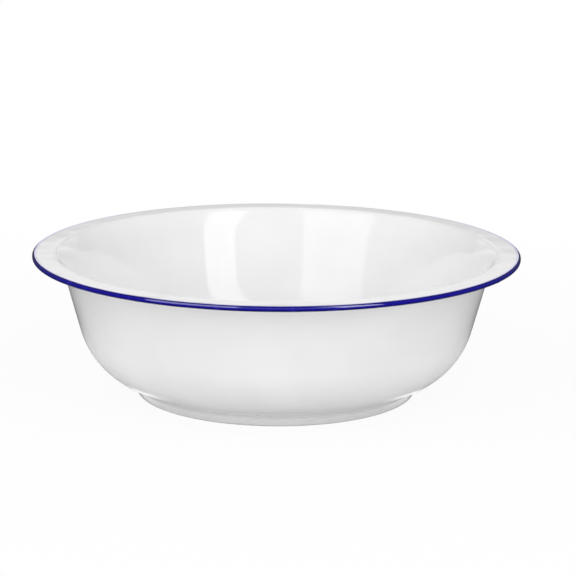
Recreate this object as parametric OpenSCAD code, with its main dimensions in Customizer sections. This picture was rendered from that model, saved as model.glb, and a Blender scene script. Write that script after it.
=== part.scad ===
// Enamel basin: one sheet of steel pressed into a bowl with a stepped foot and a flat lip,
// its edge rolled into a hollow bead, then fused all over with glass enamel in layers.
// Every layer follows one curve, the middle of the sheet, at its own distance from it.
// Millimetres. The origin is the centre of the resting face, and +Z points up.

/* [Overall] */
// Diameter across the rolled rim
rim_d = 340; // [300:1:400]
// Height from the table to the top of the lip
height = 100; // [85:1:130]

/* [Body] */
// Width of the lip, from the line of the side wall to the outside of the rim
lip_w = 19.1; // [16:0.1:32]
// Lean of the side wall outwards from upright, in degrees
wall_lean = 15.2; // [10:0.2:22]
// Bend radius of the sheet between the bottom and the side wall
body_bend_r = 54; // [44:0.5:66]
// Lean of the wall's flared top, where it meets the lip's bend, in degrees
flare_lean = 32; // [24:1:45]
// Bend radius of the sheet in that flare
flare_bend_r = 50; // [20:1:80]
// Bend radius of the sheet between the flare and the lip
lip_bend_r = 4; // [3:0.5:12]

/* [Foot] */
// Outer diameter of the pressed foot
foot_d = 195.5; // [176:0.5:214]
// Height of the body's lowest level above the table
foot_h = 5.7; // [5.2:0.1:12]
// Lean of the foot's wall outwards from upright, in degrees
foot_lean = 5; // [1:0.5:12]
// Bend radius of the sheet in the cove above the foot, where the foot is high enough for it
cove_bend_r = 6; // [3:0.2:7]
// Bend radius of the sheet at the foot's lower edge
foot_edge_bend_r = 1.3; // [0.8:0.1:1.8]
// Width of the flat ring that the basin stands on
ring_w = 7; // [4:0.5:14]
// Rise of the bottom panel inside that ring
panel_rise = 1.4; // [0.6:0.1:3]
// Bend radius of the sheet where the panel steps up from the ring
panel_bend_r = 12; // [4:0.5:20]

/* [Rolled rim] */
// Diameter of the enamelled bead
bead_d = 3.6; // [3.2:0.1:5.6]
// Gap left between the sheet's rolled edge and the lip, before the outer coat closes it
seam_gap = 0.1; // [0.05:0.05:0.3]
// Radius of the enamel fillet where the bead meets the lip from below
seam_fillet_r = 0.5; // [0.2:0.1:0.8]
// Upper edge of the coloured band on the bead, in degrees above level
band_top = 76; // [20:1:76]
// Lower edge of the coloured band on the bead, in degrees below level
band_bottom = 74; // [30:1:100]

/* [Sheet and coats] */
// Thickness of the steel sheet
steel_t = 0.5; // [0.4:0.05:0.7]
// Thickness of the dark ground coat
ground_t = 0.15; // [0.1:0.05:0.2]
// Thickness of the white cover coats
cover_t = 0.2; // [0.15:0.05:0.3]
// Thickness of the coloured band
band_t = 0.25; // [0.2:0.05:0.35]

/* [Hidden] */

// Sides of every turned face, and the most that a bend's flats may stray from the true round
$fn = 180;
flat_error = 0.02;

// The most of the room above a low foot that its cove may take
cove_share = 0.95;

// Distances from the sheet's middle to the faces of its layers
steel_face = steel_t / 2;
ground_face = steel_face + ground_t;
cover_face = ground_face + cover_t;
band_face = ground_face + band_t;

// Where the side wall's line meets the lip, and the sheet's middle at the ring, the panel and the lip
mouth_x = rim_d / 2 - lip_w;
ring_z = cover_face;
panel_z = ring_z + panel_rise;
lip_z = height - cover_face;

// A heading is the sheet's direction from the axis outwards: 0 runs level and 90 runs straight up
wall_heading = 90 - wall_lean;
flare_heading = 90 - flare_lean;
foot_heading = 90 - foot_lean;
function outward(heading) = [sin(heading), -cos(heading)];
function along(heading) = [cos(heading), sin(heading)];

// Panel step: two equal bends, one against the other, that fall by the rise
panel_heading = -acos(1 - panel_rise / (2 * panel_bend_r));
ring_inner_x = foot_d / 2 - cover_face - foot_edge_bend_r - ring_w;
panel_edge_x = ring_inner_x + 2 * panel_bend_r * sin(panel_heading);
panel_bend = [panel_edge_x, panel_z - panel_bend_r];
ring_bend = [ring_inner_x, ring_z + panel_bend_r];
foot_edge_bend = [foot_d / 2 - cover_face - foot_edge_bend_r, ring_z + foot_edge_bend_r];

// Body bend: it touches the side wall's line, and its lowest level stands foot_h off the table
body_bend_z = foot_h + cover_face + body_bend_r;
body_bend_x = mouth_x - (body_bend_r + (lip_z - body_bend_z) * sin(wall_lean)) / cos(wall_lean);
body_bend = [body_bend_x, body_bend_z];

// Room for a cove whose bend starts where the foot's edge bend ends
foot_span = foot_edge_bend - body_bend;
foot_out = foot_span * outward(foot_heading);
foot_edge_reach = foot_edge_bend_r + 2 * foot_out;
foot_room = foot_span * foot_span + foot_edge_bend_r * foot_edge_reach - pow(body_bend_r, 2);
cove_room = foot_room / (2 * (body_bend_r - foot_out - foot_edge_bend_r));
cove_r = min(cove_bend_r, cove_share * cove_room);

// Cove: it touches the foot's wall on one side and the body bend on the other
cove_start = foot_edge_bend + (foot_edge_bend_r + cove_r) * outward(foot_heading);
cove_reach = (cove_start - body_bend) * along(foot_heading);
cove_span = norm(cove_start - body_bend);
cove_rise = -cove_reach - sqrt(pow(cove_reach, 2) - pow(cove_span, 2) + pow(body_bend_r + cove_r, 2));
cove_bend = cove_start + cove_rise * along(foot_heading);
cove_heading = atan2(cove_bend[0] - body_bend[0], body_bend[1] - cove_bend[1]);

// Flare and lip: one bend runs on into the other, and the flare touches the side wall's line
flare_more = (flare_bend_r - lip_bend_r) * outward(flare_heading);
flare_reach = (flare_bend_r + (flare_more[1] - lip_bend_r) * cos(wall_heading)) / sin(wall_heading);
lip_bend = [mouth_x + flare_reach - flare_more[0], lip_z - lip_bend_r];
flare_bend = lip_bend + flare_more;

// Rolled bead outside the lip
curl_r = bead_d / 2 - band_face;
curl = [(rim_d - bead_d) / 2, lip_z - curl_r];
bead_face_r = curl_r + cover_face;
curl_room = curl_r - steel_face - 2 * ground_t - seam_gap;
curl_end_heading = -270 - asin(curl_room / (curl_r + ground_face));
band_top_heading = band_top - 90;
band_bottom_heading = -band_bottom - 90;

// The outer coat comes round the bead the other way, and meets the band at this heading
coat_end_heading = 90 - band_bottom;

// Enamel fillet under the lip: it touches the lip's lower face and the bead
seam_z = lip_z - cover_face - seam_fillet_r;
seam_span = sqrt(pow(bead_face_r + seam_fillet_r, 2) - pow(seam_z - curl[1], 2));
seam_fillet = [curl[0] - seam_span, seam_z];
seam_heading = atan2(curl[1] - seam_z, seam_span) - 90;

// A curve is a list of [point, direction of the outer face]. A bend turns about its centre,
// to the left where its heading grows and to the right where it falls.
function flats(r, turn) = max(3, ceil(abs(turn) / (2 * acos(1 - flat_error / max(r, 2 * flat_error)))));
function bend(centre, r, from, to) =
    let (n = flats(r, to - from), side = to > from ? r : -r)
    [for (i = [0 : n]) let (out = outward(from + (to - from) * i / n)) [centre + side * out, out]];
function rest(curve) = [for (i = [1 : len(curve) - 1]) curve[i]];
function reversed(curve) = [for (i = [len(curve) - 1 : -1 : 0]) curve[i]];
function face(curve, distance) = [for (step = curve) step[0] + distance * step[1]];

// The sheet's middle, from the axis to the lip, and its rolled edge in three stretches
bowl_curve = concat(
    [[[0, panel_z], outward(0)]],
    bend(panel_bend, panel_bend_r, 0, panel_heading),
    rest(bend(ring_bend, panel_bend_r, panel_heading, 0)),
    bend(foot_edge_bend, foot_edge_bend_r, 0, foot_heading),
    bend(cove_bend, cove_r, foot_heading, cove_heading),
    rest(bend(body_bend, body_bend_r, cove_heading, wall_heading)),
    bend(flare_bend, flare_bend_r, wall_heading, flare_heading),
    rest(bend(lip_bend, lip_bend_r, flare_heading, 0))
);
bead_top_curve = bend(curl, curl_r, 0, band_top_heading);
band_curve = bend(curl, curl_r, band_top_heading, band_bottom_heading);
bead_end_curve = bend(curl, curl_r, band_bottom_heading, curl_end_heading);
sheet_curve = concat(bowl_curve, bead_top_curve, rest(band_curve), rest(bead_end_curve));

// Past the sheet's cut edge the ground coat runs on by its own thickness
sheet_edge = [curl - curl_r * outward(curl_end_heading), outward(curl_end_heading)];
coated_edge = [[sheet_edge[0] + ground_t * along(curl_end_heading), sheet_edge[1]]];

// One layer of the basin, turned from the strip between two faces
module turned_layer(inner_face, outer_face) {
    rotate_extrude() polygon(concat(inner_face, reversed(outer_face)));
}

module steel_shell() {
    color("dimgray") turned_layer(face(sheet_curve, -steel_face), face(sheet_curve, steel_face));
}

module ground_coat() {
    coated_curve = concat(sheet_curve, coated_edge);
    color([0.12, 0.13, 0.2]) difference() {
        turned_layer(face(coated_curve, -ground_face), face(coated_curve, ground_face));
        turned_layer(face(sheet_curve, -steel_face), face(sheet_curve, steel_face));
    }
}

module interior_enamel() {
    inner_curve = concat(bowl_curve, bead_top_curve);
    color("white") turned_layer(face(inner_curve, -cover_face), face(inner_curve, -ground_face));
}

module rim_enamel() {
    color([0.1, 0.08, 0.5]) turned_layer(face(band_curve, -band_face), face(band_curve, -ground_face));
}

// The outer coat runs under the lip, through its fillet and round the bead to the coloured band,
// and it closes the seam at the sheet's rolled edge
module exterior_enamel() {
    outer_face = concat(
        face(bowl_curve, cover_face),
        face(bend(seam_fillet, seam_fillet_r, 0, seam_heading), 0),
        face(rest(bend(curl, bead_face_r, seam_heading, coat_end_heading)), 0)
    );
    edge_face = face(concat(bead_end_curve, coated_edge), -ground_face);
    seam_top = [edge_face[len(edge_face) - 1][0], lip_z - ground_face];
    inner_face = concat(face(bowl_curve, ground_face), [seam_top], reversed(edge_face));
    color("white") turned_layer(inner_face, outer_face);
}

steel_shell();
ground_coat();
interior_enamel();
exterior_enamel();
rim_enamel();
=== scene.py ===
import math

import bpy
from mathutils import Matrix, Vector


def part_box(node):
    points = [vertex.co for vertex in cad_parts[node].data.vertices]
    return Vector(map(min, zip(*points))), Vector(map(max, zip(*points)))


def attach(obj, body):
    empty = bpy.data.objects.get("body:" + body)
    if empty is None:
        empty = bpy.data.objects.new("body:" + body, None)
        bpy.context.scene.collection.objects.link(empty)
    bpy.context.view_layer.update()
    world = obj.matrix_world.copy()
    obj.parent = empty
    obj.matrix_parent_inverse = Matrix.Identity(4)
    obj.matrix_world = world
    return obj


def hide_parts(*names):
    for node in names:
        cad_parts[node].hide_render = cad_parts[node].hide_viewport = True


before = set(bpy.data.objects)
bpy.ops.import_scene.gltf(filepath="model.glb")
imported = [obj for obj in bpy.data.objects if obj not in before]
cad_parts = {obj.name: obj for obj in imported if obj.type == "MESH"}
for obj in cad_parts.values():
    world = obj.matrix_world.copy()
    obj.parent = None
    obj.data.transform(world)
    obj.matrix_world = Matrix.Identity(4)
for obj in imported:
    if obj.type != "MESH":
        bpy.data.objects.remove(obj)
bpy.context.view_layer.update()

# An enamelled steel basin: a bowl with a low pressed foot, a flat lip and a rolled rim, white inside
# and out, with a cobalt-blue band brushed round the rim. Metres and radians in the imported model's
# frame: +Z up, the table at zero, the basin's axis on Z.

# Overall size, from the frame: the narrower half width of the blue band, and the top of the white
RIM_R = min(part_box("rim_enamel")[1].x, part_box("rim_enamel")[1].y)
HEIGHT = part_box("interior_enamel")[1].z

# Body
LIP_W = 0.0191
WALL_LEAN = math.radians(15.2)
BODY_BEND_R = 0.054
FLARE_LEAN = math.radians(32)
FLARE_BEND_R = 0.05
LIP_BEND_R = 0.004

# Foot
FOOT_R = 0.09775
FOOT_H = 0.0057
FOOT_LEAN = math.radians(5)
COVE_BEND_R = 0.006
FOOT_EDGE_BEND_R = 0.0013
RING_W = 0.007
PANEL_RISE = 0.0014
PANEL_BEND_R = 0.012

# Rolled rim
BEAD_R = 0.0018
SEAM_GAP = 0.0001
SEAM_FILLET_R = 0.0005
BAND_TOP = math.radians(84)
BAND_BOTTOM = math.radians(74)

# Coats: thickness of the ground coat, and distances from the sheet's middle to the faces of each layer
GROUND_T = 0.00015
STEEL_FACE = 0.00025
GROUND_FACE = STEEL_FACE + GROUND_T
COVER_FACE = 0.0006
BAND_FACE = 0.00065

# How far the white runs on under the blue band, as an angle round the bead
LAP = math.radians(14)

# How finely the turned coats are made: sides round the axis, the most that a flat may stray from a
# true bend on the faces that show and on those that lie against the ground coat, the longest flat,
# and the fewest in a bend. Edges bent by less than the sharp edge are smoothed, and points nearer to
# each other than the weld become one
COAT_SIDES = 360
SHOWN_SAG = 0.000004
HIDDEN_SAG = 0.00002
LONGEST_FLAT = 0.006
LEAST_FLATS = 4
SHARP_EDGE = math.radians(35)
WELD = 0.0000005

# The pressed wall isn't quite true: how far it wanders, over what length, and between which heights
WAVE_DEPTH = 0.00004
WAVE_LENGTH = 0.045
WAVE_FOOT = (0.008, 0.03)
WAVE_LIP = (0.094, 0.075)

# Noise runs from about 0 to 1. The swings stretch what strays from its middle, for the wall and for
# the band's edges
NOISE_MIDDLE = 0.5
WAVE_SWING = 4
EDGE_SWING = 2

# The brushed band: sides and steps across, its feathered edge, how its edges wander, slowly and as
# bristles leave them, how far it sags below its middle, and its short runs. A spread gives the two
# values between which a share grows from 0 to 1
BAND_SIDES = 1800
BAND_STEPS = 12
FEATHER = 0.0002
WANDER = 0.00022
WANDER_LENGTH = 0.022
BRISTLE = 0.00012
BRISTLE_LENGTH = 0.0035
SAG = 0.00022
SAG_SPREAD = (0.55, 0.85)
DRIP = 0.0003
DRIP_LENGTH = 0.006
DRIP_SPREAD = (0.6, 0.8)

# How deep the band's thin edges dip, as a share of its height above the white, and its noises' seeds
TUCK_SHARE = 1.2
BAND_SEED = 7
TOP_SEED = 0
BOTTOM_SEED = 5.1
BRISTLE_SEED = 3.3
DRIP_SEED = 11.7

# Rows of a surface are told apart half way from one to the next
HALF_ROW = 0.5


# The sheet's profile. A heading is the sheet's direction from the axis outwards: zero runs level,
# and a right angle runs straight up. A curve is a list of (point, direction of the outer face).

def outward(heading):
    """Direction in which the sheet's outer face looks, at a heading."""
    return Vector((math.sin(heading), -math.cos(heading)))


def along(heading):
    """Direction in which the sheet runs, at a heading."""
    return Vector((math.cos(heading), math.sin(heading)))


RIGHT_ANGLE = math.pi / 2
WALL_HEADING = RIGHT_ANGLE - WALL_LEAN
FLARE_HEADING = RIGHT_ANGLE - FLARE_LEAN
FOOT_HEADING = RIGHT_ANGLE - FOOT_LEAN
MOUTH_X = RIM_R - LIP_W
RING_Z = COVER_FACE
PANEL_Z = RING_Z + PANEL_RISE
LIP_Z = HEIGHT - COVER_FACE

# Panel step: two equal bends, one against the other, that fall by the rise
PANEL_HEADING = -math.acos(1 - PANEL_RISE / (2 * PANEL_BEND_R))
RING_INNER_X = FOOT_R - COVER_FACE - FOOT_EDGE_BEND_R - RING_W
PANEL_BEND = Vector((RING_INNER_X + 2 * PANEL_BEND_R * math.sin(PANEL_HEADING), PANEL_Z - PANEL_BEND_R))
RING_BEND = Vector((RING_INNER_X, RING_Z + PANEL_BEND_R))
FOOT_EDGE_BEND = Vector((FOOT_R - COVER_FACE - FOOT_EDGE_BEND_R, RING_Z + FOOT_EDGE_BEND_R))

# Body bend: it touches the side wall's line, and its lowest level stands the foot's height off the table
BODY_BEND_Z = FOOT_H + COVER_FACE + BODY_BEND_R
BODY_BEND = Vector((
    MOUTH_X - (BODY_BEND_R + (LIP_Z - BODY_BEND_Z) * math.sin(WALL_LEAN)) / math.cos(WALL_LEAN),
    BODY_BEND_Z,
))

# Cove: it touches the foot's wall on one side and the body bend on the other
COVE_START = FOOT_EDGE_BEND + (FOOT_EDGE_BEND_R + COVE_BEND_R) * outward(FOOT_HEADING)
COVE_REACH = (COVE_START - BODY_BEND).dot(along(FOOT_HEADING))
COVE_SPAN = (COVE_START - BODY_BEND).length
COVE_RISE = -COVE_REACH - math.sqrt(COVE_REACH ** 2 - COVE_SPAN ** 2 + (BODY_BEND_R + COVE_BEND_R) ** 2)
COVE_BEND = COVE_START + COVE_RISE * along(FOOT_HEADING)
COVE_HEADING = math.atan2(COVE_BEND.x - BODY_BEND.x, BODY_BEND.y - COVE_BEND.y)

# Flare and lip: one bend runs on into the other, and the flare touches the side wall's line
FLARE_MORE = (FLARE_BEND_R - LIP_BEND_R) * outward(FLARE_HEADING)
FLARE_TOUCH = FLARE_BEND_R + (FLARE_MORE.y - LIP_BEND_R) * math.cos(WALL_HEADING)
FLARE_REACH = FLARE_TOUCH / math.sin(WALL_HEADING)
LIP_BEND = Vector((MOUTH_X + FLARE_REACH - FLARE_MORE.x, LIP_Z - LIP_BEND_R))
FLARE_BEND = LIP_BEND + FLARE_MORE

# Rolled bead outside the lip, and the enamel fillet between the two from below
CURL_R = BEAD_R - BAND_FACE
CURL = Vector((RIM_R - BEAD_R, LIP_Z - CURL_R))
BEAD_FACE_R = CURL_R + COVER_FACE
CURL_ROOM = CURL_R - STEEL_FACE - 2 * GROUND_T - SEAM_GAP
CURL_END_HEADING = -3 * RIGHT_ANGLE - math.asin(CURL_ROOM / (CURL_R + GROUND_FACE))
SEAM_Z = LIP_Z - COVER_FACE - SEAM_FILLET_R
SEAM_SPAN = math.sqrt((BEAD_FACE_R + SEAM_FILLET_R) ** 2 - (SEAM_Z - CURL.y) ** 2)
SEAM_FILLET = Vector((CURL.x - SEAM_SPAN, SEAM_Z))
SEAM_HEADING = math.atan2(CURL.y - SEAM_Z, SEAM_SPAN) - RIGHT_ANGLE


def bend(centre, radius, start, end, sag):
    """A round stretch from one heading to another. It turns left where its heading grows."""
    flat = 2 * math.acos(1 - sag / radius)
    count = max(LEAST_FLATS, math.ceil(abs(end - start) / flat))
    side = radius if end > start else -radius
    headings = [start + (end - start) * step / count for step in range(count + 1)]
    return [(centre + side * outward(heading), outward(heading)) for heading in headings]


def joined(*stretches):
    """One curve of stretches that follow each other, with no point twice and no flat too long."""
    curve = list(stretches[0])
    for step in [step for stretch in stretches[1:] for step in stretch]:
        start, out = curve[-1]
        length = (step[0] - start).length
        if length < WELD:
            continue
        count = math.ceil(length / LONGEST_FLAT)
        for share in [part / count for part in range(1, count)]:
            curve.append((start.lerp(step[0], share), out.lerp(step[1], share).normalized()))
        curve.append(step)
    return curve


def face(curve, distance):
    """A curve's points moved off the sheet's middle: outwards where the distance is over zero."""
    return [(point + distance * out, out) for point, out in curve]


def bowl_curve(sag):
    """The sheet's middle, from the axis to where the lip meets the bead."""
    return joined(
        [(Vector((0, PANEL_Z)), outward(0))],
        bend(PANEL_BEND, PANEL_BEND_R, 0, PANEL_HEADING, sag),
        bend(RING_BEND, PANEL_BEND_R, PANEL_HEADING, 0, sag),
        bend(FOOT_EDGE_BEND, FOOT_EDGE_BEND_R, 0, FOOT_HEADING, sag),
        bend(COVE_BEND, COVE_BEND_R, FOOT_HEADING, COVE_HEADING, sag),
        bend(BODY_BEND, BODY_BEND_R, COVE_HEADING, WALL_HEADING, sag),
        bend(FLARE_BEND, FLARE_BEND_R, WALL_HEADING, FLARE_HEADING, sag),
        bend(LIP_BEND, LIP_BEND_R, FLARE_HEADING, 0, sag),
    )


def inner_coat_outline():
    """The white coat inside: from the axis over the lip to under the band, and back along the sheet."""
    bead_heading = BAND_TOP - RIGHT_ANGLE - LAP
    shown = joined(bowl_curve(SHOWN_SAG), bend(CURL, CURL_R, 0, bead_heading, SHOWN_SAG))
    hidden = joined(bowl_curve(HIDDEN_SAG), bend(CURL, CURL_R, 0, bead_heading, HIDDEN_SAG))
    return face(shown, -COVER_FACE) + face(hidden, -GROUND_FACE)[::-1]


def outer_coat_outline():
    """The white coat outside: from the axis round the foot, through the seam and round the bead to
    under the band, and back through the rolled edge and along the sheet."""
    shown = joined(
        face(bowl_curve(SHOWN_SAG), COVER_FACE),
        bend(SEAM_FILLET, SEAM_FILLET_R, 0, SEAM_HEADING, SHOWN_SAG),
        bend(CURL, BEAD_FACE_R, SEAM_HEADING, RIGHT_ANGLE - BAND_BOTTOM + LAP, SHOWN_SAG),
    )
    rolled = bend(CURL, CURL_R, LAP - BAND_BOTTOM - RIGHT_ANGLE, CURL_END_HEADING, HIDDEN_SAG)
    cut_edge = rolled[-1][0] + GROUND_T * along(CURL_END_HEADING)
    rolled_face = face(rolled + [(cut_edge, outward(CURL_END_HEADING))], -GROUND_FACE)
    seam_top = Vector((rolled_face[-1][0].x, LIP_Z - GROUND_FACE))
    hidden = face(bowl_curve(HIDDEN_SAG), GROUND_FACE) + [(seam_top, outward(0))]
    return (shown + rolled_face + hidden[::-1])[::-1]


# Node trees

class Signal:
    """A value on a socket. The usual operators add Math nodes to its tree."""

    def __init__(self, tree, socket):
        self.tree = tree
        self.socket = socket

    def __add__(self, other):
        return self.tree.worked("ADD", self, other)

    def __radd__(self, other):
        return self.tree.worked("ADD", other, self)

    def __sub__(self, other):
        return self.tree.worked("SUBTRACT", self, other)

    def __rsub__(self, other):
        return self.tree.worked("SUBTRACT", other, self)

    def __mul__(self, other):
        return self.tree.worked("MULTIPLY", self, other)

    def __rmul__(self, other):
        return self.tree.worked("MULTIPLY", other, self)

    def __truediv__(self, other):
        return self.tree.worked("DIVIDE", self, other)

    def __rtruediv__(self, other):
        return self.tree.worked("DIVIDE", other, self)

    def __mod__(self, other):
        return self.tree.worked("MODULO", self, other)

    def __lt__(self, other):
        return self.tree.worked("LESS_THAN", self, other)


class Tree:
    """A node tree of any kind, to which node() adds."""

    def __init__(self, nodes):
        self.nodes = nodes

    def node(self, kind, settings=None, inputs=None, output=0):
        """Adds a node: its settings first, then a value or a Signal for each input, by identifier."""
        made = self.nodes.nodes.new(kind)
        for name, value in (settings or {}).items():
            setattr(made, name, value)
        for key, value in (inputs or {}).items():
            socket = next(each for each in made.inputs if key in (each.identifier, each.name))
            if isinstance(value, Signal):
                self.nodes.links.new(value.socket, socket)
            else:
                socket.default_value = value
        for place, socket in enumerate(made.outputs):
            if output in (place, socket.identifier, socket.name):
                return Signal(self, socket)

    def worked(self, operation, first, second=0.0):
        """A Math node of one or two values."""
        return self.node("ShaderNodeMath", {"operation": operation},
                         {"Value": first, "Value_001": second})

    def rise(self, value, low, high):
        """A smooth step from 0 at low to 1 at high, which may be the lower of the two."""
        return self.node("ShaderNodeMapRange", {"interpolation_type": "SMOOTHSTEP"},
                         {"Value": value, "From Min": low, "From Max": high})

    def noise(self, place, length, detail=2.0, seed=0.0):
        """Noise from about 0 to 1 with features of a length."""
        return self.node("ShaderNodeTexNoise", {"noise_dimensions": "4D"},
                         {"Vector": place, "W": seed, "Scale": 1 / length, "Detail": detail})

    def cells(self, place, gap):
        """How far the nearest of many scattered points is, in gaps between them."""
        return self.node("ShaderNodeTexVoronoi", None, {"Vector": place, "Scale": 1 / gap}, "Distance")

    def blend(self, share, first, second):
        """A colour between two, by a share."""
        return self.node("ShaderNodeMix", {"data_type": "RGBA"},
                         {"Factor_Float": share, "A_Color": first, "B_Color": second}, "Result_Color")

    def coordinates(self, place):
        """The X, Y and Z of a vector."""
        return [self.node("ShaderNodeSeparateXYZ", None, {"Vector": place}, axis) for axis in "XYZ"]

    def combined(self, x, y, z):
        """A vector from its X, Y and Z."""
        return self.node("ShaderNodeCombineXYZ", None, {"X": x, "Y": y, "Z": z})

    def scaled(self, place, factor):
        """A vector times a value."""
        return self.node("ShaderNodeVectorMath", {"operation": "SCALE"},
                         {"Vector": place, "Scale": factor})

    def distance(self, x, y):
        """The length of a flat vector."""
        return self.worked("SQRT", x * x + y * y)


# Shapes by rule

SOCKETS = {
    "Geometry": "NodeSocketGeometry",
    "Material": "NodeSocketMaterial",
    "Sides": "NodeSocketInt",
    "Steps": "NodeSocketInt",
}


def shape_tree(name, inputs):
    """An empty shape tree, and a Signal for each of its named inputs."""
    group = bpy.data.node_groups.new(name, "GeometryNodeTree")
    for label in ["Geometry", *inputs]:
        kind = SOCKETS.get(label, "NodeSocketFloat")
        group.interface.new_socket(label, in_out="INPUT", socket_type=kind)
    group.interface.new_socket("Geometry", in_out="OUTPUT", socket_type=SOCKETS["Geometry"])
    tree = Tree(group)
    entry = group.nodes.new("NodeGroupInput")
    return group, tree, {each.name: Signal(tree, each) for each in entry.outputs if each.name}


def close_shape(tree, surface, sharp, material):
    """Welds the seam and the poles, turns the faces outwards, smooths all but the sharp edges, and
    ends the tree."""
    welded = tree.node("GeometryNodeMergeByDistance", None, {"Geometry": surface, "Distance": WELD})
    turned = tree.node("GeometryNodeFlipFaces", None, {"Mesh": welded})
    smooth = tree.node("GeometryNodeSetShadeSmooth", {"domain": "FACE"}, {"Geometry": turned})
    angle = tree.node("GeometryNodeInputMeshEdgeAngle")
    eased = tree.node("GeometryNodeSetShadeSmooth", {"domain": "EDGE"},
                      {"Geometry": smooth, "Shade Smooth": angle < sharp})
    real = tree.node("GeometryNodeRealizeInstances", None, {"Geometry": eased})
    done = tree.node("GeometryNodeSetMaterial", None, {"Geometry": real, "Material": material})
    tree.node("NodeGroupOutput", None, {"Geometry": done})


def grid_of(tree, sides, rows):
    """A grid of points round the basin and across a surface: the grid, and each point's share of a
    turn and its row."""
    grid = tree.node("GeometryNodeMeshGrid", None, {"Vertices X": sides + 1, "Vertices Y": rows})
    index = tree.node("GeometryNodeInputIndex")
    row = index % rows
    turn = (index - row) / rows / sides
    return grid, turn, row


def moved(tree, surface, place):
    """A surface with each point put in its place."""
    return tree.node("GeometryNodeSetPosition", None, {"Geometry": surface, "Position": place})


def turned_coat_tree():
    """Turns an outline about Z into a closed coat. The outline's points carry the direction in which
    the wall may wander off true."""
    group, tree, size = shape_tree(
        "turned coat",
        ["Sides", "Sharp Edge", "Wave Depth", "Wave Length", "Material"],
    )
    rows = tree.node("GeometryNodeAttributeDomainSize", None, {"Geometry": size["Geometry"]},
                     "Point Count")
    grid, turn, row = grid_of(tree, size["Sides"], rows)

    def turned(value):
        """The outline's value at a point's row, turned about the axis."""
        sampled = tree.node("GeometryNodeSampleIndex", {"data_type": "FLOAT_VECTOR"},
                            {"Geometry": size["Geometry"], "Value": value, "Index": row})
        return tree.node("ShaderNodeVectorRotate", {"rotation_type": "Z_AXIS"},
                         {"Vector": sampled, "Angle": turn * math.tau})

    place = turned(tree.node("GeometryNodeInputPosition"))
    off = turned(tree.node("GeometryNodeInputNamedAttribute", {"data_type": "FLOAT_VECTOR"},
                           {"Name": "outward"}))
    height = tree.coordinates(place)[2]
    wave = tree.noise(tree.scaled(place, 1 / size["Wave Length"]), 1.0, detail=1.0)
    free = tree.rise(height, *WAVE_FOOT) * tree.rise(height, *WAVE_LIP)
    push = tree.scaled(off, (wave - NOISE_MIDDLE) * free * size["Wave Depth"] * WAVE_SWING)
    wandering = tree.node("ShaderNodeVectorMath", {"operation": "ADD"},
                          {"Vector": place, "Vector_001": push})
    close_shape(tree, moved(tree, grid, wandering), size["Sharp Edge"], size["Material"])
    return group


def brushed_band_tree():
    """The blue band: a closed film round the bead whose edges wander as a brush leaves them, with a
    few short runs below. Its points keep their share of the way across, for the colour."""
    group, tree, size = shape_tree(
        "brushed band",
        ["Sides", "Steps", "Rim Radius", "Bead Reach", "Bead Height", "Ground Radius", "White Radius",
         "Band Radius", "Top Edge", "Bottom Edge", "Feather", "Wander", "Wander Length", "Bristle",
         "Bristle Length", "Sag", "Drip", "Drip Length", "Seed", "Sharp Edge", "Material"],
    )

    # Rows cross the face from its upper edge down, come back along the ground coat, and close the film
    steps = size["Steps"]
    grid, turn, row = grid_of(tree, size["Sides"], 2 * steps + 3)
    on_face = row < steps + HALF_ROW
    closing = 1 - (row < 2 * steps + 1 + HALF_ROW)
    back = tree.worked("MAXIMUM", 0.0, 2 * steps + 1 - row)
    across = (on_face * row + (1 - on_face) * (1 - closing) * back) / steps

    angle = turn * math.tau
    round_x = tree.worked("COSINE", angle)
    round_y = tree.worked("SINE", angle)
    circle = tree.combined(round_x * size["Rim Radius"], round_y * size["Rim Radius"], 0.0)

    def unevenness(label, seed):
        """Noise round the rim, with features of a named length."""
        return tree.noise(tree.scaled(circle, 1 / size[label + " Length"]), 1.0, seed=size["Seed"] + seed)

    def edge_wander(seed):
        """How far an edge strays, slowly and finely."""
        slow = (unevenness("Wander", seed) - NOISE_MIDDLE) * EDGE_SWING * size["Wander"]
        fine = (unevenness("Bristle", seed + BRISTLE_SEED) - NOISE_MIDDLE) * EDGE_SWING * size["Bristle"]
        return slow + fine

    run = tree.rise(unevenness("Drip", DRIP_SEED), *DRIP_SPREAD) * size["Drip"]
    sagged = tree.rise(across, *SAG_SPREAD) * (size["Sag"] + run)
    top = size["Top Edge"] + edge_wander(TOP_SEED) / size["Band Radius"]
    bottom = size["Bottom Edge"] + (edge_wander(BOTTOM_SEED) + run) / size["Band Radius"]
    level = top - across * (top + bottom)

    half = tree.worked("MINIMUM", across, 1 - across)
    from_edge = half * (top + bottom) * size["Band Radius"]
    thin = 1 - tree.rise(from_edge, 0.0, size["Feather"])
    tuck = (size["Band Radius"] - size["White Radius"]) * TUCK_SHARE
    outer = size["Band Radius"] + sagged * (1 - thin) - tuck * thin
    radius = on_face * outer + (1 - on_face) * size["Ground Radius"]
    radius = radius + closing * (size["Band Radius"] - tuck - size["Ground Radius"])
    reach = size["Bead Reach"] + radius * tree.worked("COSINE", level)
    place = tree.combined(
        reach * round_x,
        reach * round_y,
        size["Bead Height"] + radius * tree.worked("SINE", level),
    )
    surface = tree.node("GeometryNodeStoreNamedAttribute", {"data_type": "FLOAT", "domain": "POINT"},
                        {"Geometry": moved(tree, grid, place), "Name": "across", "Value": across})
    close_shape(tree, surface, size["Sharp Edge"], size["Material"])
    return group


def outline_mesh(name, outline):
    """An outline's points in the XZ plane, each with the direction in which it may wander."""
    mesh = bpy.data.meshes.new(name)
    mesh.from_pydata([(point.x, 0, point.y) for point, out in outline], [], [])
    off = mesh.attributes.new("outward", "FLOAT_VECTOR", "POINT")
    off.data.foreach_set("vector", [part for point, out in outline for part in (out.x, 0, out.y)])
    return mesh


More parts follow.
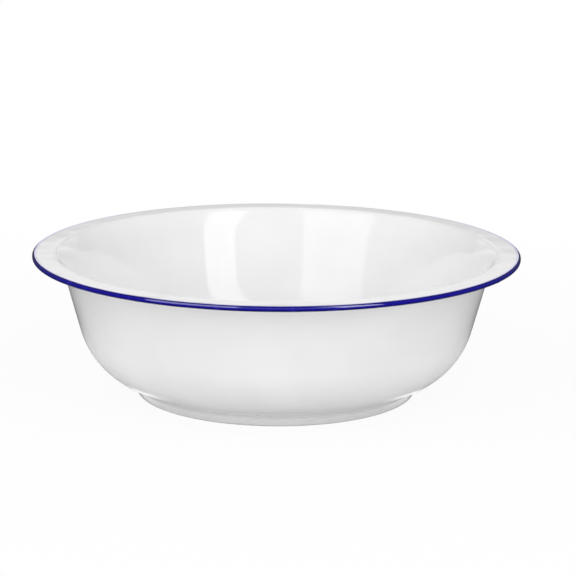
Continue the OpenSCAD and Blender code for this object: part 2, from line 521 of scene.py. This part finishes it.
def shaped(name, mesh, group, sizes):
    """A plain mesh object that a shape tree makes from a mesh and named sizes. The tree's material
    comes after an empty first slot, which is dropped."""
    piece = bpy.data.objects.new(name, mesh)
    bpy.context.scene.collection.objects.link(piece)
    rule = piece.modifiers.new("shape", "NODES")
    rule.node_group = group
    for item in group.interface.items_tree:
        if item.in_out == "INPUT" and item.name in sizes:
            rule[item.identifier] = sizes[item.name]
    bpy.context.view_layer.update()
    result = piece.evaluated_get(bpy.context.evaluated_depsgraph_get())
    made = bpy.data.meshes.new_from_object(result)
    made.materials.pop(index=0)
    piece.modifiers.remove(rule)
    piece.data = made
    made.name = name
    return piece


# Finishes

WHITE = (0.84, 0.84, 0.841, 1)
WHITE_THICK = (0.862, 0.862, 0.862, 1)
# The next white is painted light, laid on the cove above the foot
WHITE_PAINTED_LIGHT = (0.93, 0.93, 0.93, 1)
WHITE_THIN = (0.68, 0.69, 0.73, 1)
# The next colour is partly blue fired into the white beside the band and partly a painted highlight on
# the bead's crown
LILAC_AND_HIGHLIGHT = (0.56, 0.54, 0.88, 1)
RUBBED = (0.45, 0.45, 0.46, 1)
SPECK = (0.2, 0.2, 0.24, 1)
COBALT = (0.004, 0.0015, 0.26, 1)
COBALT_THIN = (0.03, 0.024, 0.42, 1)
# The next blue is painted shade, for the bead's upper and lower faces
COBALT_PAINTED_SHADE = (0.0025, 0.0008, 0.09, 1)
GROUND = (0.012, 0.014, 0.03, 1)
GROUND_LIGHT = (0.03, 0.035, 0.07, 1)
STEEL = (0.36, 0.36, 0.37, 1)
STEEL_DARK = (0.2, 0.2, 0.21, 1)
GLASS_IOR = 1.52

# White enamel: its clouds
WHITE_CLOUD_LENGTH = 0.03
WHITE_CLOUD_SPREAD = (0.3, 0.7)

# Where it runs thin over the foot's lower edge, by height and by distance from the axis
THIN_WIDTH = 0.004
THIN_HEIGHT = (1.6 * FOOT_EDGE_BEND_R, 0.0)
THIN_REACH = (FOOT_R - THIN_WIDTH, FOOT_R)
THIN_SHARE = 0.08

# Painted light: the cove above the foot is painted a lighter white, from which height, to which height,
# and how far out
PAINTED_LIGHT_LOW = (0.5 * FOOT_H, 0.9 * FOOT_H)
PAINTED_LIGHT_HIGH = (1.8 * FOOT_H, 1.2 * FOOT_H)
PAINTED_LIGHT_OUT = (1.15 * FOOT_R, 1.1 * FOOT_R)
PAINTED_LIGHT_SHARE = 0.8

# The lilac tint on the white beside the blue band, partly blue fired into the white and partly a painted
# highlight along the bead's crown, and specks: the gap between them and their size as a share of it
TINT_AND_HIGHLIGHT_REACH = (RIM_R - 2.2 * BEAD_R, RIM_R - BEAD_R)
TINT_AND_HIGHLIGHT_SHARE = 0.75
SPECK_GAP = 0.021
SPECK_SPREAD = (0.005, 0.009)
SPECK_SHARE = 0.5

# Rubbed patches on the resting ring: below which height, how long they are, and how rough
RUB_HEIGHT = (0.0006, 0.0001)
RUB_LENGTH = 0.004
RUB_DETAIL = 4.0
RUB_SPREAD = (0.35, 0.6)
RUB_SEED = 2
RUB_ROUGHNESS = 0.4

# The white's roughness, what patches add to it, its orange peel, fine and coarse, and the shallow
# dents in the lip, which set in with height
WHITE_ROUGHNESS = 0.045
PATCH_ROUGHNESS = 0.04
PATCH_LENGTH = 0.012
PATCH_SEED = 5
PEEL_DEPTH = 0.000006
PEEL_LENGTH = 0.0028
PEEL_SEED = 9
COARSE_PEEL_SHARE = 2
COARSE_PEEL_LENGTH = 0.009
COARSE_PEEL_SEED = 12
DENT_DEPTH = 0.0011
DENT_LENGTH = 0.03
DENT_RISE = (0.0985, 0.0998)
DENT_SEED = 2.0

# Cobalt enamel, as shares of the way across the band from its upper edge: where it is painted lighter
# across the bead's middle, with painted shade on the bead's upper and lower faces, and how far in its
# thin edges reach. Then its streaks, its roughness and the marks of the brush
PAINTED_LIT_FROM = (0.05, 0.4)
PAINTED_LIT_TO = (0.85, 0.5)
THIN_EDGE = (0.08, 0.0)
STREAK_LENGTH = 0.007
STREAK_DETAIL = 3.0
STREAK_SPREAD = (0.5, 0.75)
STREAK_SHARE = 0.6
STREAK_SEED = 21.0
COBALT_ROUGHNESS = 0.025
STREAK_ROUGHNESS = 0.03
BRUSH_DEPTH = 0.000012
BRUSH_LENGTH = 0.004
BRUSH_SEED = 31.0
COARSE_BRUSH_LENGTH = 0.012
COARSE_BRUSH_SEED = 33.0
COBALT_GLOSS = {"Specular IOR Level": 1.0, "Coat Weight": 1.0}

# Ground coat: its clouds and bubbles
GROUND_CLOUD_LENGTH = 0.006
GROUND_CLOUD_DETAIL = 4.0
GROUND_CLOUD_SPREAD = (0.4, 0.7)
GROUND_CLOUD_SEED = 3.0
GROUND_ROUGHNESS = 0.25
GROUND_CLOUD_ROUGHNESS = 0.15
BUBBLE_GAP = 0.0015
BUBBLE_DEPTH = 0.00002

# Sheet steel: its clouds and drawing marks
STEEL_CLOUD_LENGTH = 0.01
STEEL_CLOUD_SPREAD = (0.35, 0.7)
STEEL_CLOUD_SEED = 6.0
MARK_LENGTH = 0.0006
MARK_DEPTH = 0.00001
MARK_SEED = 5.0
STEEL_DETAIL = 3.0
STEEL_ROUGHNESS = 0.35
MARK_ROUGHNESS = 0.2


def cleared_tree(owner):
    """The emptied node tree of a material or a world."""
    owner.use_nodes = True
    owner.node_tree.nodes.clear()
    return Tree(owner.node_tree)


def finish_tree(name):
    """A new material, its tree, and the place on the piece."""
    material = bpy.data.materials.new(name)
    tree = cleared_tree(material)
    return material, tree, tree.node("ShaderNodeTexCoord", None, None, "Object")


def surfaced(tree, looks, relief):
    """Ends a finish with its looks, on a surface that rises by a relief in metres."""
    raised = tree.node("ShaderNodeBump", None, {"Height": relief, "Distance": 1.0, "Strength": 1.0})
    shader = tree.node("ShaderNodeBsdfPrincipled", None, {**looks, "Normal": raised})
    tree.node("ShaderNodeOutputMaterial", None, {"Surface": shader})


def white_enamel(name, seed, wear):
    """Opaque white enamel: faintly cloudy, thinner over the foot's edge, painted lighter in the cove
    above the foot as painted light, and tinted lilac beside the blue band, partly blue fired into the
    white and partly a painted highlight along the bead's crown. Wear is how far its resting ring is
    rubbed."""
    material, tree, place = finish_tree(name)
    x, y, z = tree.coordinates(place)
    reach = tree.distance(x, y)
    cloud = tree.noise(place, WHITE_CLOUD_LENGTH, seed=seed)
    colour = tree.blend(tree.rise(cloud, *WHITE_CLOUD_SPREAD), WHITE, WHITE_THICK)
    thin = tree.rise(z, *THIN_HEIGHT) * tree.rise(reach, *THIN_REACH)
    colour = tree.blend(thin * THIN_SHARE, colour, WHITE_THIN)
    # Painted light: the cove above the foot is made lighter
    painted_cove_light = tree.rise(z, *PAINTED_LIGHT_LOW) * tree.rise(z, *PAINTED_LIGHT_HIGH) * tree.rise(reach, *PAINTED_LIGHT_OUT)
    colour = tree.blend(painted_cove_light * PAINTED_LIGHT_SHARE, colour, WHITE_PAINTED_LIGHT)
    # Lilac beside the band: partly fired-in blue, partly a painted highlight on the bead's crown
    colour = tree.blend(tree.rise(reach, *TINT_AND_HIGHLIGHT_REACH) * TINT_AND_HIGHLIGHT_SHARE, colour, LILAC_AND_HIGHLIGHT)
    speck = tree.cells(place, SPECK_GAP)
    colour = tree.blend((1 - tree.rise(speck, *SPECK_SPREAD)) * SPECK_SHARE, colour, SPECK)
    patches = tree.rise(tree.noise(place, RUB_LENGTH, RUB_DETAIL, seed + RUB_SEED), *RUB_SPREAD)
    rubbed = tree.rise(z, *RUB_HEIGHT) * patches * wear
    colour = tree.blend(rubbed, colour, RUBBED)
    patchy = tree.noise(place, PATCH_LENGTH, seed=seed + PATCH_SEED)
    roughness = WHITE_ROUGHNESS + patchy * PATCH_ROUGHNESS + rubbed * RUB_ROUGHNESS
    fine = tree.noise(place, PEEL_LENGTH, 1.0, seed + PEEL_SEED)
    coarse = tree.noise(place, COARSE_PEEL_LENGTH, 1.0, seed + COARSE_PEEL_SEED)
    dents = tree.noise(place, DENT_LENGTH, 1.0, DENT_SEED) * tree.rise(z, *DENT_RISE)
    relief = (fine + coarse * COARSE_PEEL_SHARE) * PEEL_DEPTH + dents * DENT_DEPTH
    surfaced(tree, {"Base Color": colour, "Roughness": roughness, "IOR": GLASS_IOR}, relief)
    return material


def cobalt_enamel():
    """Cobalt-blue enamel brushed on the rim: painted lighter across the bead's middle, with painted shade
    on its upper and lower faces, and thin at its very edges and where the brush lifted."""
    material, tree, place = finish_tree("cobalt enamel")
    across = tree.node("ShaderNodeAttribute", {"attribute_name": "across"}, None, "Fac")
    # Painted light across the bead's middle, and painted shade towards both edges of the band
    painted_lit_middle = tree.rise(across, *PAINTED_LIT_FROM) * tree.rise(across, *PAINTED_LIT_TO)
    colour = tree.blend(painted_lit_middle, COBALT_PAINTED_SHADE, COBALT)
    from_edge = tree.worked("MINIMUM", across, 1 - across)
    colour = tree.blend(tree.rise(from_edge, *THIN_EDGE), colour, COBALT_THIN)
    streak = tree.noise(place, STREAK_LENGTH, STREAK_DETAIL, STREAK_SEED)
    colour = tree.blend(tree.rise(streak, *STREAK_SPREAD) * STREAK_SHARE, colour, COBALT_THIN)
    roughness = COBALT_ROUGHNESS + streak * STREAK_ROUGHNESS
    fine = tree.noise(place, BRUSH_LENGTH, 1.0, BRUSH_SEED)
    coarse = tree.noise(place, COARSE_BRUSH_LENGTH, 1.0, COARSE_BRUSH_SEED)
    looks = {"Base Color": colour, "Roughness": roughness, "IOR": GLASS_IOR, **COBALT_GLOSS}
    surfaced(tree, looks, (fine + coarse) * BRUSH_DEPTH)
    return material


def ground_coat():
    """Dark bonding enamel: bubbly glass with lighter cobalt clouds."""
    material, tree, place = finish_tree("ground coat enamel")
    cloud = tree.noise(place, GROUND_CLOUD_LENGTH, GROUND_CLOUD_DETAIL, GROUND_CLOUD_SEED)
    bubble = tree.cells(place, BUBBLE_GAP)
    colour = tree.blend(tree.rise(cloud, *GROUND_CLOUD_SPREAD), GROUND, GROUND_LIGHT)
    roughness = GROUND_ROUGHNESS + cloud * GROUND_CLOUD_ROUGHNESS
    looks = {"Base Color": colour, "Roughness": roughness, "IOR": GLASS_IOR}
    surfaced(tree, looks, bubble * BUBBLE_DEPTH)
    return material


def pickled_steel():
    """Bare pressed sheet under the glass: pickled grey with drawing marks round the axis."""
    material, tree, place = finish_tree("pickled sheet steel")
    x, y, z = tree.coordinates(place)
    drawn = tree.combined(tree.distance(x, y), z, 0.0)
    marks = tree.noise(drawn, MARK_LENGTH, STEEL_DETAIL, MARK_SEED)
    cloud = tree.noise(place, STEEL_CLOUD_LENGTH, STEEL_DETAIL, STEEL_CLOUD_SEED)
    colour = tree.blend(tree.rise(cloud, *STEEL_CLOUD_SPREAD), STEEL, STEEL_DARK)
    roughness = STEEL_ROUGHNESS + marks * MARK_ROUGHNESS
    surfaced(tree, {"Base Color": colour, "Roughness": roughness, "Metallic": 1.0}, marks * MARK_DEPTH)
    return material


# The basin

def carried(piece, node):
    """Puts a piece in its node's place, on the basin's one body."""
    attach(piece, "root")
    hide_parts(node)


coat_tree = turned_coat_tree()
coat_sizes = {
    "Sides": COAT_SIDES,
    "Sharp Edge": SHARP_EDGE,
    "Wave Depth": WAVE_DEPTH,
    "Wave Length": WAVE_LENGTH,
}
inside_white = white_enamel("white enamel inside", seed=1.0, wear=0.0)
outside_white = white_enamel("white enamel outside", seed=4.0, wear=0.5)

inner_coat = shaped(
    "inner_white_coat",
    outline_mesh("inner coat outline", inner_coat_outline()),
    coat_tree,
    {**coat_sizes, "Material": inside_white},
)
carried(inner_coat, "interior_enamel")

outer_coat = shaped(
    "outer_white_coat",
    outline_mesh("outer coat outline", outer_coat_outline()),
    coat_tree,
    {**coat_sizes, "Material": outside_white},
)
carried(outer_coat, "exterior_enamel")

rim_band = shaped(
    "cobalt_rim_band",
    bpy.data.meshes.new("band start"),
    brushed_band_tree(),
    {
        "Sides": BAND_SIDES, "Steps": BAND_STEPS,
        "Rim Radius": RIM_R, "Bead Reach": CURL.x, "Bead Height": CURL.y,
        "Ground Radius": CURL_R + GROUND_FACE, "White Radius": BEAD_FACE_R, "Band Radius": BEAD_R,
        "Top Edge": BAND_TOP, "Bottom Edge": BAND_BOTTOM, "Feather": FEATHER,
        "Wander": WANDER, "Wander Length": WANDER_LENGTH,
        "Bristle": BRISTLE, "Bristle Length": BRISTLE_LENGTH,
        "Sag": SAG, "Drip": DRIP, "Drip Length": DRIP_LENGTH,
        "Seed": BAND_SEED, "Sharp Edge": SHARP_EDGE, "Material": cobalt_enamel(),
    },
)
carried(rim_band, "rim_enamel")

for node, material in (("steel_shell", pickled_steel()), ("ground_coat", ground_coat())):
    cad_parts[node].data.materials.clear()
    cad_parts[node].data.materials.append(material)


# Floor, surroundings and lamps

PURE_WHITE = (1, 1, 1, 1)

# The floor: its reach and sides, and how far it lies below the resting ring. Beside the basin the
# camera sees this share of plain white over its paper, which keeps the shadow. Farther out the
# paper ends
FLOOR_R = 12.0
FLOOR_SIDES = 64
FLOOR_DROP = 0.00005
PAPER = (0.8, 0.8, 0.8, 1)
WHITE_SHARE = 0.93
PAPER_END = (0.2, 0.7)

# In the glaze the paper is dark, but for a pale round about the basin that stops short in front: at
# which depth it starts, and how far out it ends
PAPER_IN_GLAZE = (0.04, 0.04, 0.04, 1)
PALE_FRONT = (-0.14, -0.07)
PALE_END = (0.25, 0.145)

# Pools of light on the floor beside the foot, with shade between them and it. How far out they start
# and end, how near the middle they come, how far back, their level, where 1 is white, and the shade
POOL_START = (0.0992, 0.1005)
POOL_END = (0.12, 0.106)
POOL_SIDE = (0.06, 0.095)
POOL_BACK = (-0.014, -0.03)
POOL_LEVEL = 1.35
SHADE_SHARE = 0.3

# The room, as it lights the basin and as the glaze mirrors it
ROOM_GREY = (0.7, 0.7, 0.7, 1)
ROOM_IN_GLAZE = (0.07, 0.07, 0.07, 1)

# The card behind the basin: where it stands, its half width, its top and how softly its edges end.
# It is white at its foot, grey across its middle and paler again above
CARD_Y = 0.5
CARD_HALF_W = 0.265
CARD_TOP = 0.3
CARD_FADE = 0.03
CARD_FOOT_END = (0.14, 0.162)
CARD_MIDDLE_END = (0.196, 0.216)
CARD_FOOT = (1, 1, 1, 1)
CARD_MIDDLE = (0.49, 0.49, 0.49, 1)
CARD_ABOVE = (0.78, 0.78, 0.78, 1)


def flat_sheet(name, corners, material):
    """A flat face of one material."""
    mesh = bpy.data.meshes.new(name)
    mesh.from_pydata(corners, [], [range(len(corners))])
    mesh.materials.append(material)
    sheet = bpy.data.objects.new(name, mesh)
    bpy.context.scene.collection.objects.link(sheet)
    return sheet


def light_path(tree):
    """Whether a ray is seen, by the camera or through glass, and whether it is mirrored."""
    camera, mirrored, through = [tree.node("ShaderNodeLightPath", None, None, label)
                                 for label in ("Is Camera Ray", "Is Glossy Ray", "Is Transmission Ray")]
    return camera + through, mirrored


def floor_finish():
    """Pale paper that keeps the basin's shadow and goes to plain white away from it."""
    material, tree, place = finish_tree("pale floor")
    x, y, z = tree.coordinates(place)
    reach = tree.distance(x, y)
    seen, mirrored = light_path(tree)
    plain = WHITE_SHARE + (1 - WHITE_SHARE) * tree.rise(reach, *PAPER_END)
    beside = tree.rise(tree.worked("ABSOLUTE", x), *POOL_SIDE)
    lit = tree.rise(reach, *POOL_START)
    pool = mirrored * beside * lit * tree.rise(reach, *POOL_END) * tree.rise(y, *POOL_BACK)
    open_share = 1 - beside * (1 - lit) * SHADE_SHARE
    pale = tree.rise(y, *PALE_FRONT) * tree.rise(reach, *PALE_END) * open_share
    colour = tree.blend(mirrored * (1 - pale), PAPER, PAPER_IN_GLAZE)
    paper = tree.node("ShaderNodeBsdfDiffuse", None, {"Color": colour})
    white = tree.node("ShaderNodeEmission", None,
                      {"Color": PURE_WHITE, "Strength": seen + pool * POOL_LEVEL})
    shown = tree.node("ShaderNodeMixShader", None,
                      {"Fac": seen * plain + pool, "Shader": paper, "Shader_001": white})
    tree.node("ShaderNodeOutputMaterial", None, {"Surface": shown})
    return material


def floor_disc():
    """A wide flat disc just under the resting ring."""
    rim = [(FLOOR_R * math.cos(turn), FLOOR_R * math.sin(turn), -FLOOR_DROP)
           for turn in (math.tau * side / FLOOR_SIDES for side in range(FLOOR_SIDES))]
    flat_sheet("floor", rim, floor_finish())


def card_finish():
    """White card that glows. Its sides and top end softly."""
    material, tree, place = finish_tree("pale card")
    x, y, z = tree.coordinates(place)
    colour = tree.blend(tree.rise(z, *CARD_FOOT_END), CARD_FOOT, CARD_MIDDLE)
    colour = tree.blend(tree.rise(z, *CARD_MIDDLE_END), colour, CARD_ABOVE)
    within_sides = tree.rise(tree.worked("ABSOLUTE", x), CARD_HALF_W, CARD_HALF_W - CARD_FADE)
    below_top = tree.rise(z, CARD_TOP, CARD_TOP - CARD_FADE)
    glow = tree.node("ShaderNodeEmission", None, {"Color": colour, "Strength": within_sides * below_top})
    tree.node("ShaderNodeOutputMaterial", None, {"Surface": glow})
    return material


def card_behind():
    """An upright card behind the basin that only its glaze mirrors."""
    corners = [(-CARD_HALF_W, CARD_Y, 0), (CARD_HALF_W, CARD_Y, 0),
               (CARD_HALF_W, CARD_Y, CARD_TOP), (-CARD_HALF_W, CARD_Y, CARD_TOP)]
    card = flat_sheet("card", corners, card_finish())
    card.visible_camera = False
    card.visible_diffuse = False
    card.visible_transmission = False
    card.visible_shadow = False


def surroundings():
    """A plain grey room that reads as white to the camera, and as a dark room in the glaze."""
    world = bpy.data.worlds.new("studio")
    tree = cleared_tree(world)
    seen, mirrored = light_path(tree)
    colour = tree.blend(mirrored, ROOM_GREY, ROOM_IN_GLAZE)
    colour = tree.blend(seen, colour, PURE_WHITE)
    sky = tree.node("ShaderNodeBackground", None, {"Color": colour, "Strength": 1.0})
    tree.node("ShaderNodeOutputWorld", None, {"Surface": sky})
    bpy.context.scene.world = world


def soft_box(name, centre, aim, width, height, lean, level):
    """A rectangular lamp that looks at a point, leaned about that line. Its face is as bright as its
    level, where 1 is white."""
    lamp = bpy.data.lights.new(name, "AREA")
    lamp.shape = "RECTANGLE"
    lamp.size = width
    lamp.size_y = height
    lamp.energy = level * math.pi * width * height
    box = bpy.data.objects.new(name, lamp)
    turn = (Vector(centre) - Vector(aim)).to_track_quat("Z", "Y").to_matrix().to_4x4()
    box.matrix_world = Matrix.Translation(centre) @ turn @ Matrix.Rotation(math.radians(lean), 4, "Z")
    box.visible_camera = False
    bpy.context.scene.collection.objects.link(box)


# Each softbox: name, centre, what it looks at, width, height, lean in degrees, level
SOFT_BOXES = (
    ("right softbox", (0.525, -0.714, 0.7), (0, 0, 0.4), 0.35, 1.1, 0, 2.7),
    ("left softbox", (-0.552, -0.64, 0.7), (0, 0, 0.4), 0.713, 1.1, 12, 1.56),
    ("front softbox", (0, -2.4, 1.1), (0, 0, 0.05), 2.2, 1.4, 0, 0.38),
)

floor_disc()
card_behind()
surroundings()
for soft_box_row in SOFT_BOXES:
    soft_box(*soft_box_row)


# Camera, on the photograph's side of the basin

BASIN_MIDDLE = Vector((0, 0, HEIGHT / 2))
CAMERA_DISTANCE = 1.8
CAMERA_RISE = math.radians(13.78)
CAMERA_YAW = math.radians(0.267)
CAMERA_PITCH = math.radians(13.069)
CAMERA_ROLL = math.radians(0.446)
CAMERA_LENS = 160.08
SENSOR_W = 36.0


def photograph_camera():
    """The camera at its distance from the basin's middle, turned by yaw, pitch and roll."""
    lens = bpy.data.cameras.new("camera")
    lens.lens = CAMERA_LENS
    lens.sensor_width = SENSOR_W
    camera = bpy.data.objects.new("camera", lens)
    forward = Vector((
        math.sin(CAMERA_YAW) * math.cos(CAMERA_PITCH),
        math.cos(CAMERA_YAW) * math.cos(CAMERA_PITCH),
        -math.sin(CAMERA_PITCH),
    ))
    level_right = forward.cross(Vector((0, 0, 1))).normalized()
    level_up = level_right.cross(forward)
    right = level_right * math.cos(CAMERA_ROLL) + level_up * math.sin(CAMERA_ROLL)
    up = level_up * math.cos(CAMERA_ROLL) - level_right * math.sin(CAMERA_ROLL)
    back = Vector((0, -math.cos(CAMERA_RISE), math.sin(CAMERA_RISE)))
    turn = Matrix((right, up, -forward)).transposed().to_4x4()
    camera.matrix_world = Matrix.Translation(BASIN_MIDDLE + back * CAMERA_DISTANCE) @ turn
    bpy.context.scene.collection.objects.link(camera)
    bpy.context.scene.camera = camera


photograph_camera()
bpy.context.scene.view_settings.view_transform = "Standard"
